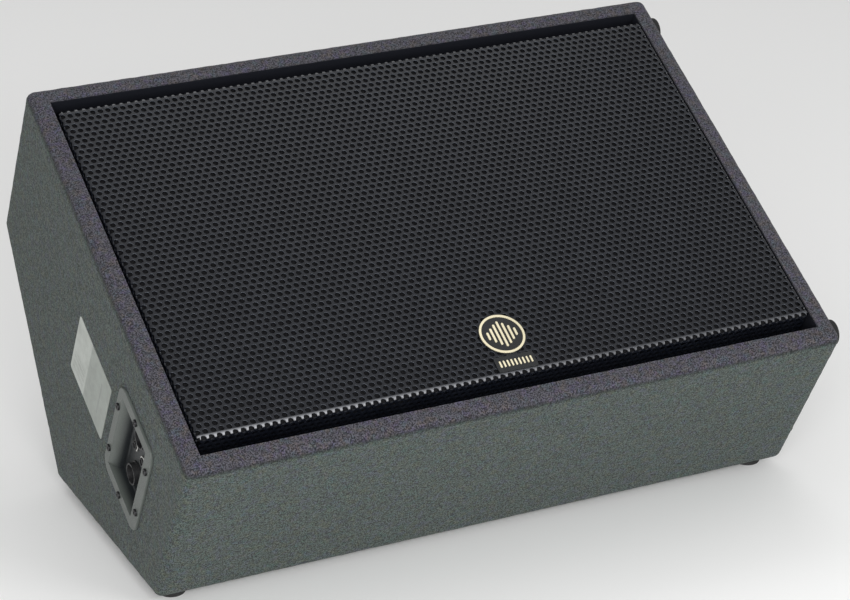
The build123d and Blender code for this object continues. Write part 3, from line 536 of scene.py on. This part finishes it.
def carpet_shells():
    """One wrapped skin, cut into the four pieces of carpet, each closed by an inner face and cut edges."""
    step = 4.6 * MM
    corners = [np.array(p) for p in outline_points(0)]
    rim = []
    for number, (here, after) in enumerate(zip(corners, corners[1:] + corners[:1])):
        run = after - here
        length = np.linalg.norm(run)
        stops = (WALL, length - WALL) if number == 0 else ()
        rim += [here + run * d / length for d in stations(length, step, stops)[:-1]]
    rim = np.array(rim)
    columns = np.array(stations(2 * HALF, step, (WALL, 2 * HALF - WALL))) - HALF

    points, faces = [], []
    around = len(rim)
    for x in columns:
        points += [(x, y, z) for y, z in rim]
    for i in range(len(columns) - 1):
        for j in range(around):
            k = (j + 1) % around
            faces.append((i * around + j, (i + 1) * around + j, (i + 1) * around + k, i * around + k))
    centre = rim.mean(0)
    for side, first in ((-1, 0), (1, (len(columns) - 1) * around)):
        ring = [first + j for j in range(around)]
        inner = [round_ring(rim, d) for d in EDGE_STEPS[1:]]
        steps = 34
        last = inner[-1]
        inner += [last + (centre - last) * k / steps for k in range(1, steps)]
        for loop in inner:
            start = len(points)
            points += [(side * HALF, y, z) for y, z in loop]
            fresh = list(range(start, start + around))
            for j in range(around):
                k = (j + 1) % around
                quad = (ring[j], ring[k], fresh[k], fresh[j])
                faces.append(quad if side < 0 else quad[::-1])
            ring = fresh
        start = len(points)
        points.append((side * HALF, *centre))
        for j in range(around):
            tri = (ring[j], ring[(j + 1) % around], start)
            faces.append(tri if side < 0 else tri[::-1])
    points = np.array(points)
    lift = fuzz(points)
    outer = round_over(points, lift)
    inner = round_over(points, np.full(len(points), -CARPET))

    groups = {"carpet_left": [], "carpet_right": [], "carpet_wrap": [], "carpet_face_edge": []}
    hole_low, hole_high = dish_hole()
    for face in faces:
        middle = points[list(face)].mean(0)
        if middle[2] > -1e-6 and abs(middle[0]) < INNER_HALF and WALL < middle[1] < FACE_LENGTH - WALL:
            continue
        on_end = middle[0] < -HALF + 1e-6
        in_y = hole_low.y < middle[1] < hole_high.y
        in_z = hole_low.z < middle[2] < hole_high.z
        if on_end and in_y and in_z:
            continue
        if middle[2] > -EDGE_ROUND:
            groups["carpet_face_edge"].append(face)
        elif middle[0] < -end_seam:
            groups["carpet_left"].append(face)
        elif middle[0] > end_seam:
            groups["carpet_right"].append(face)
        else:
            groups["carpet_wrap"].append(face)
    for node, chosen in groups.items():
        shell = closed_shell(node + "_pile", outer, inner, chosen)
        shell.data.set_sharp_from_angle(angle=radians(55))
        paint(shell, carpet_front if node == "carpet_face_edge" else carpet_panels)
        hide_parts(node)


def round_ring(rim, inset):
    """The outline's own points moved in by inset, each staying opposite where it was."""
    big = np.array([tuple(p) for p in outline_points(0)])
    small = np.array([tuple(p) for p in outline_points(inset)])
    moved = []
    for point in rim:
        gaps = []
        for i in range(len(big)):
            here, after = big[i], big[(i + 1) % len(big)]
            run = after - here
            share = float((point - here) @ run / (run @ run))
            spot = here + run * min(max(share, 0), 1)
            gaps.append((float(np.linalg.norm(point - spot)), i, share))
        gap, i, share = min(gaps)
        after = small[(i + 1) % len(small)]
        moved.append(small[i] + (after - small[i]) * share)
    return np.array(moved)


def closed_shell(name, outer, inner, faces):
    """An outer skin, its inner skin and the walls round every open edge."""
    used = sorted(set(v for face in faces for v in face))
    index = {v: i for i, v in enumerate(used)}
    count = len(used)
    skin = [tuple(index[v] for v in face) for face in faces]
    back = [tuple(v + count for v in reversed(face)) for face in skin]
    edges = set()
    for face in skin:
        for a, b in zip(face, face[1:] + face[:1]):
            edges.add((a, b))
    walls = [(b, a, a + count, b + count) for a, b in edges if (b, a) not in edges]
    points = np.vstack([outer[used], inner[used]])
    return add_mesh(name, points, skin + back + walls)


def dish_hole():
    """The opening in the left end's carpet, a little larger than the board's own."""
    low, high = node_box("jack_dish")
    inset = 9 * MM
    return low + Vector((0, inset, inset)), high - Vector((0, inset, inset))


carpet_shells()


# ---------------------------------------------------------------- perforated grille

PITCH = 8.0 * MM
HOLE = 3.0 * MM
SHEET = 1.5 * MM
BEND = 3.0 * MM
SIDE_FLANGE = 16.0 * MM
LIP = 13.0 * MM
HOLE_POINTS = 12

tray_low, tray_high = node_box("grille")
tray_half = tray_high.x
fold_low = tray_low.y + LIP
fold_high = tray_high.y - LIP
mid_radius = BEND - SHEET / 2
arc = mid_radius * pi / 2
skin_z = tray_high.z - SHEET / 2
lip_z = tray_low.z + SHEET / 2
drop = skin_z - lip_z - 2 * mid_radius
lip_run = LIP + BEND - 2 * mid_radius
fold_to_fold = fold_high - fold_low - 2 * BEND + arc
row_count = round(fold_to_fold / (PITCH * 3 ** 0.5 / 2))
ROW = fold_to_fold / row_count
FLANGE_ROWS = 4


def grille_coat():
    """Black baked paint on punched steel, with painted highlights: pale round the holes' front rims, and
    along the end folds, stronger towards the left.
    """
    s = Shader("grille_paint", (0.005, 0.006, 0.009), 0.36, specular=0.3)
    s.base.inputs["Coat Weight"].default_value = 0.35
    s.base.inputs["Coat Roughness"].default_value = 0.22
    bench = s.node("ShaderNodeSeparateXYZ", {"Vector": s.bench_place()})
    across, up, height = (bench.outputs[axis] for axis in "XYZ")
    out = BENCH.to_3x3() @ Vector((0, 0, 1))
    true_normal = s.node("ShaderNodeNewGeometry").outputs["True Normal"]
    facing = s.node("ShaderNodeVectorMath", {0: true_normal, 1: out}, operation="DOT_PRODUCT")
    facing = facing.outputs["Value"]
    wall = s.maths("LESS_THAN", s.node("ShaderNodeMath", {0: facing}, operation="ABSOLUTE").outputs[0], 0.3)
    top = tray_high.z
    # painted highlight: hole walls within 0.7 mm of the front face are painted pale, for light caught on the
    # holes' front rims
    rim = s.maths("MULTIPLY", wall, s.spread(height, top - 0.7 * MM, top - 0.2 * MM))
    # painted highlight along both end folds, stronger towards the left end, standing in for the glint of
    # light on the bends
    low_fold = s.spread(up, fold_low + 5.3 * MM, fold_low + 2.6 * MM)
    high_fold = s.spread(up, fold_high - 5.0 * MM, fold_high - 2.0 * MM, 0.0, 0.3)
    near_top = s.spread(height, top - 1.7 * MM, top - 1.0 * MM)
    folds = s.maths("MULTIPLY", s.maths("ADD", low_fold, high_fold), near_top)
    fold_highlight = s.maths("MULTIPLY", folds, s.spread(across, -tray_half, tray_half * 0.4, 0.52, 0.16))
    dust = s.noise(34, 4, 0.65)
    cloud = s.noise(5.5, 2, 0.5)
    coat = s.mix(s.spread(dust, 0.35, 0.75), (0.0035, 0.0046, 0.0080), (0.0070, 0.0085, 0.0130))
    coat = s.mix(s.spread(cloud, 0.35, 0.65, 0.0, 0.5), coat, (0.0035, 0.004, 0.0065))
    # painted highlight: the pale hole rims
    coat = s.mix(rim, coat, (0.16, 0.175, 0.20))
    # painted highlight: the pale line along the folds
    s.color(s.mix(fold_highlight, coat, (0.52, 0.53, 0.56)))
    s.rough(s.spread(dust, 0.3, 0.7, 0.3, 0.44))
    s.bump(s.noise(620, 2, 0.5), 0.00025, 0.4)
    return s.material


grille_paint = grille_coat()


def perforated_pattern():
    """The unfolded sheet: hexagons round holes, plain hexagons where the end flanges turn to lips."""
    sheet = bmesh.new()
    corners = {}

    def corner(x, y):
        key = (round(x / MM * 50), round(y / MM * 50))
        if key not in corners:
            corners[key] = sheet.verts.new((x, y, 0))
        return corners[key]

    side_reach = int((tray_half + SIDE_FLANGE) / PITCH) + 1
    end_reach = FLANGE_ROWS + int((LIP + drop) / ROW) - 1
    for row in range(-end_reach, row_count + end_reach + 1):
        y = row * ROW
        shift = PITCH / 2 if row % 2 else 0.0
        punched = -FLANGE_ROWS <= row <= row_count + FLANGE_ROWS
        for column in range(-side_reach, side_reach + 1):
            x = column * PITCH + shift
            waist = ROW / 3
            tip = ROW * 2 / 3
            hexagon = [(0, tip), (-PITCH / 2, waist), (-PITCH / 2, -waist), (0, -tip), (PITCH / 2, -waist),
                       (PITCH / 2, waist)]
            outer = [corner(x + dx, y + dy) for dx, dy in hexagon]
            if not punched:
                sheet.faces.new(outer)
                continue
            angles = [pi / 2 + 2 * pi * k / HOLE_POINTS for k in range(HOLE_POINTS)]
            rim = [sheet.verts.new((x + HOLE * cos(a), y + HOLE * sin(a), 0)) for a in angles]
            for k in range(6):
                start, middle, end = (rim[(2 * k + n) % HOLE_POINTS] for n in range(3))
                here, after = outer[k], outer[(k + 1) % 6]
                sheet.faces.new((here, middle, start))
                sheet.faces.new((here, after, middle))
                sheet.faces.new((after, end, middle))
    return sheet


def fold_pattern(points, depth):
    """Wraps the unfolded sheet round its bends; depth is how far a point is from the sheet's middle."""
    side_start = tray_half - BEND
    mid = (fold_low + fold_high) / 2
    from_mid = points[:, 1] - fold_to_fold / 2
    end_start = fold_to_fold / 2 - arc / 2
    past = np.abs(from_mid) - end_start
    first = np.clip(past / mid_radius, 0, pi / 2)
    down = np.clip(past - arc, 0, drop)
    second = np.clip((past - arc - drop) / mid_radius, 0, pi / 2)
    lip = np.maximum(past - 2 * arc - drop, 0)
    turned = first - second
    reach = np.minimum(past, 0) + mid_radius * np.sin(first) + mid_radius * (1 - np.cos(second)) + lip
    fall = mid_radius * (1 - np.cos(first)) + down + mid_radius * np.sin(second)
    y = mid + np.sign(from_mid) * (end_start + reach + depth * np.sin(turned))
    z = skin_z - fall + depth * np.cos(turned)

    over = np.abs(points[:, 0]) - side_start
    angle = np.clip(over / mid_radius, 0, pi / 2)
    out = np.minimum(over, 0) + mid_radius * np.sin(angle) + depth * np.sin(angle)
    sink = mid_radius * (1 - np.cos(angle)) + np.maximum(over - arc, 0) + depth * (1 - np.cos(angle))
    x = np.sign(points[:, 0]) * (side_start + out)
    return np.column_stack([x, y, z - sink])


def make_grille():
    sheet = perforated_pattern()
    side_start = tray_half - BEND
    side_end = side_start + arc + SIDE_FLANGE - BEND
    low_start = -arc / 2
    lip_start = low_start - drop
    lip_end = lip_start - arc - lip_run
    shares = (0, 1 / 3, 2 / 3, 1)
    side_lines = [side_start + arc * share for share in shares] + [side_end]
    end_lines = [start - arc * share for start in (arc / 2, lip_start) for share in shares] + [lip_end]
    cuts = [(0, sign * line) for line in side_lines for sign in (-1, 1)]
    cuts += [(1, line) for line in end_lines] + [(1, fold_to_fold - line) for line in end_lines]
    splits = [ROW * (row_count * k // 3 + 0.5) for k in (1, 2)]
    cuts += [(1, split) for split in splits]
    for axis, line in cuts:
        spot, normal = Vector((0, 0, 0)), Vector((0, 0, 0))
        spot[axis], normal[axis] = line, 1
        parts = sheet.verts[:] + sheet.edges[:] + sheet.faces[:]
        bmesh.ops.bisect_plane(sheet, geom=parts, plane_co=spot, plane_no=normal, dist=1e-6)
    bands = {"grille_lower": [], "grille_middle": [], "grille_upper": []}
    names = list(bands)
    sheet.verts.index_update()
    points = np.array([v.co for v in sheet.verts])
    for face in sheet.faces:
        middle = face.calc_center_median()
        past_side = abs(middle.x) - side_start
        past_end = max(arc / 2 - middle.y, middle.y - fold_to_fold + arc / 2)
        if past_side > side_end - side_start or past_end > arc / 2 - lip_end:
            continue
        if past_side > 0 and past_end > 0:
            continue
        band = names[sum(middle.y > split for split in splits)]
        bands[band].append(tuple(v.index for v in face.verts))
    sheet.free()
    front = fold_pattern(points, SHEET / 2)
    back = fold_pattern(points, -SHEET / 2)
    for name, faces in bands.items():
        piece = closed_shell(name, front, back, faces)
        piece.data.set_sharp_from_angle(angle=radians(38))
        paint(piece, grille_paint)
    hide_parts("grille")


make_grille()


# ---------------------------------------------------------------- foam behind the grille

def foam_sheet():
    """Open-cell foam lying behind the grille, its face a little uneven."""
    low, high = node_box("grille_foam")
    step = 5.0 * MM
    across = ceil((high.x - low.x) / step)
    up = ceil((high.y - low.y) / step)
    points, faces = [], []
    for i in range(across + 1):
        for j in range(up + 1):
            points.append((low.x + (high.x - low.x) * i / across, low.y + (high.y - low.y) * j / up, high.z))
    for i in range(across):
        for j in range(up):
            k = i * (up + 1) + j
            faces.append((k, k + up + 1, k + up + 2, k + 1))
    points = np.array(points)
    edge = np.minimum.reduce([points[:, 0] - low.x, high.x - points[:, 0],
                              points[:, 1] - low.y, high.y - points[:, 1]])
    swell = np.array([noise.noise(Vector(p) * 45) for p in points]) * 0.35 * MM
    front = points.copy()
    front[:, 2] -= 0.5 * MM + np.abs(swell) + 1.2 * MM * np.clip(1 - edge / step, 0, 1)
    back = points.copy()
    back[:, 2] = low.z + 0.2 * MM + np.abs(swell[::-1])
    piece = closed_shell("grille_foam_sheet", front, back, faces)
    paint(piece, foam())
    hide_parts("grille_foam")


foam_sheet()


# ---------------------------------------------------------------- finishes of the CAD nodes in view

wood = plywood()
wadding_felt = felt("wadding_felt", (0.42, 0.41, 0.38))
cone_paper = paper("cone_paper", (0.030, 0.030, 0.031))
surround_cloth = woven("surround_cloth", (0.018, 0.018, 0.018))
spider_cloth = woven("spider_cloth", (0.45, 0.27, 0.10))
copper = winding("copper_winding", (0.75, 0.36, 0.18))
ferrite = stone("ferrite", (0.035, 0.035, 0.037))
casting = powder_coat("black_casting", (0.022, 0.022, 0.023), 0.5)
ceramic = stone("resistor_ceramic", (0.62, 0.60, 0.54))
sleeve = plastic("capacitor_sleeve", (0.45, 0.30, 0.06), 0.35)
jacket = plastic("wire_jacket", (0.35, 0.020, 0.018), 0.45)
titanium = metal("diaphragm_metal", (0.50, 0.52, 0.54), 0.3)

FINISHES = {
    "base_feet": foot_rubber, "side_feet": foot_rubber, "rear_feet": foot_rubber, "foot_screws": black_steel,
    "jack_dish": dish_plastic, "dish_gasket": gasket_rubber, "dish_screws": black_steel,
    "socket_barrels": black_plastic, "socket_cores": black_plastic, "phone_jacks": black_plastic,
    "jack_nuts": chrome, "spec_label": label_material(),
    "woofer_basket": casting, "woofer_gasket": gasket_rubber, "woofer_surround": surround_cloth,
    "woofer_cone": cone_paper, "woofer_dust_cap": cone_paper, "woofer_coil": copper,
    "woofer_spider": spider_cloth, "woofer_front_plate": plated, "woofer_magnet": ferrite,
    "woofer_pole": plated, "woofer_terminals": zinc, "woofer_screws": black_steel,
    "horn": black_plastic, "horn_screws": black_steel, "driver_front_plate": plated,
    "driver_magnet": ferrite, "driver_pole": plated, "driver_gap_plate": plated,
    "driver_phase_plug": black_plastic, "driver_diaphragm": titanium, "driver_cover": casting,
    "driver_bolts": zinc, "port_tubes": black_plastic, "grille_screws": black_steel,
    "badge_plate": badge_black, "badge_emblem": cream_enamel,
    "crossover_board": circuit_board(), "crossover_spacers": zinc, "crossover_screws": zinc,
    "crossover_coils": copper, "crossover_capacitors": sleeve, "crossover_resistors": ceramic,
    "internal_wires": jacket, "side_panel_left": wood, "side_panel_right": wood, "top_panel": wood,
    "rear_panel": wood, "base_panel": wood, "front_panel": wood, "baffle": black_wood(),
    "baffle_cleats": wood, "wadding": wadding_felt,
}
for node, material in FINISHES.items():
    dress(node, material)


# ---------------------------------------------------------------- wadding inside the box

def soft_wadding():
    """Loose felt in place of the plain slab: rounded over, dented and a little thinner than it."""
    source = frame["nodes"]["wadding"]
    slab = bpy.data.objects.new("wadding_slab", source.data.copy())
    bpy.context.scene.collection.objects.link(slab)
    grid = slab.modifiers.new("grid", "REMESH")
    grid.mode = "VOXEL"
    grid.voxel_size = 8 * MM
    mesh = bpy.data.meshes.new_from_object(slab.evaluated_get(bpy.context.evaluated_depsgraph_get()))
    bpy.data.objects.remove(slab)
    for vertex in mesh.vertices:
        dent = 1.5 + 1.5 * noise.noise(vertex.co * 14) + 0.8 * noise.noise(vertex.co * 60)
        vertex.co -= vertex.normal * dent * MM
    piece = bpy.data.objects.new("wadding_felt", mesh)
    bpy.context.scene.collection.objects.link(piece)
    mesh.materials.clear()
    mesh.materials.append(wadding_felt)
    mesh.polygons.foreach_set("use_smooth", [True] * len(mesh.polygons))
    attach(piece, "root")
    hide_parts("wadding")


soft_wadding()


# ---------------------------------------------------------------- soft rings of the woofer, copied in place

def radial_blend(node):
    """A copy of a ring's CAD mesh, baked in place of the node; it stays where the CAD put it."""
    source = frame["nodes"][node]
    piece = bpy.data.objects.new(node + "_ring", source.data.copy())
    bpy.context.scene.collection.objects.link(piece)
    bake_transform(piece)
    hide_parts(node)
    return piece


cone_low, cone_high = node_box("woofer_cone")
cone_radius = (cone_high.x - cone_low.x) / 2
coil_low, coil_high = node_box("woofer_coil")
coil_radius = (coil_high.x - coil_low.x) / 2
rings = (("woofer_surround", cone_radius, "surround_cloth"), ("woofer_spider", coil_radius, "spider_cloth"))
for node, inner, slot in rings:
    ring = radial_blend(node)


# ---------------------------------------------------------------- floor, light and camera

def floor():
    size = 30.0
    mesh = bpy.data.meshes.new("studio_floor")
    rows = 8
    places = [(k / rows - 0.5) * size for k in range(rows + 1)]
    points = [(x, y, 0) for x in places for y in places]
    faces = []
    for i in range(rows):
        for j in range(rows):
            k = i * (rows + 1) + j
            faces.append((k, k + rows + 1, k + rows + 2, k + 1))
    mesh.from_pydata(points, [], faces)
    piece = bpy.data.objects.new("studio_floor", mesh)
    bpy.context.scene.collection.objects.link(piece)
    s = Shader("studio_floor", (0.93, 0.93, 0.925), 0.65, specular=0.2)
    cloud = s.noise(0.7, 2, 0.5)
    s.color(s.mix(cloud, (0.92, 0.92, 0.915), (0.94, 0.94, 0.935)))
    piece.data.materials.append(s.material)


def area_light(name, place, target, size, power, color=(1, 1, 1)):
    lamp = bpy.data.lights.new(name, "AREA")
    lamp.shape = "RECTANGLE"
    lamp.size, lamp.size_y = size
    lamp.energy = power
    lamp.color = color
    made = bpy.data.objects.new(name, lamp)
    made.location = place
    made.rotation_euler = (Vector(target) - Vector(place)).to_track_quat("-Z", "Y").to_euler()
    bpy.context.scene.collection.objects.link(made)


def world_light(strength):
    world = bpy.data.worlds.new("studio")
    bpy.context.scene.world = world
    world.use_nodes = True
    back = world.node_tree.nodes["Background"]
    back.inputs["Color"].default_value = (1, 1, 1, 1)
    back.inputs["Strength"].default_value = strength


floor()
world_light(0.56)
area_light("key_front_left", (-1.3, -2.9, 1.2), (0, 0, 0.2), (2.4, 1.6), 92)
area_light("strip_front", (0.75, -2.1, 1.2), (-0.2, -0.25, 0.08), (0.9, 0.14), 12)
area_light("top_back", (0.3, 1.3, 2.4), (0, 0, 0.2), (2.6, 1.4), 10)

cad_middle = (cad_low + cad_high) / 2
AZIMUTH = radians(-25.608)
ELEVATION = radians(22.981)
ROLL = radians(-0.254)
DISTANCE = 2.970679
AIM = Vector((0.00522, -0.00997, -0.01587))
tilt = Matrix.Rotation(pi / 2 - ELEVATION, 4, "X")
turn = Matrix.Rotation(AZIMUTH, 4, "Z") @ tilt @ Matrix.Rotation(ROLL, 4, "Z")
back = Vector((sin(AZIMUTH) * cos(ELEVATION), -cos(AZIMUTH) * cos(ELEVATION), sin(ELEVATION)))
lens = bpy.data.cameras.new("camera")
lens.sensor_width = 36.0
lens.lens = 120.793
camera = bpy.data.objects.new("camera", lens)
camera.matrix_world = Matrix.Translation(cad_middle + AIM + back * DISTANCE) @ turn
bpy.context.scene.collection.objects.link(camera)
bpy.context.scene.camera = camera
bpy.context.scene.view_settings.view_transform = "Standard"
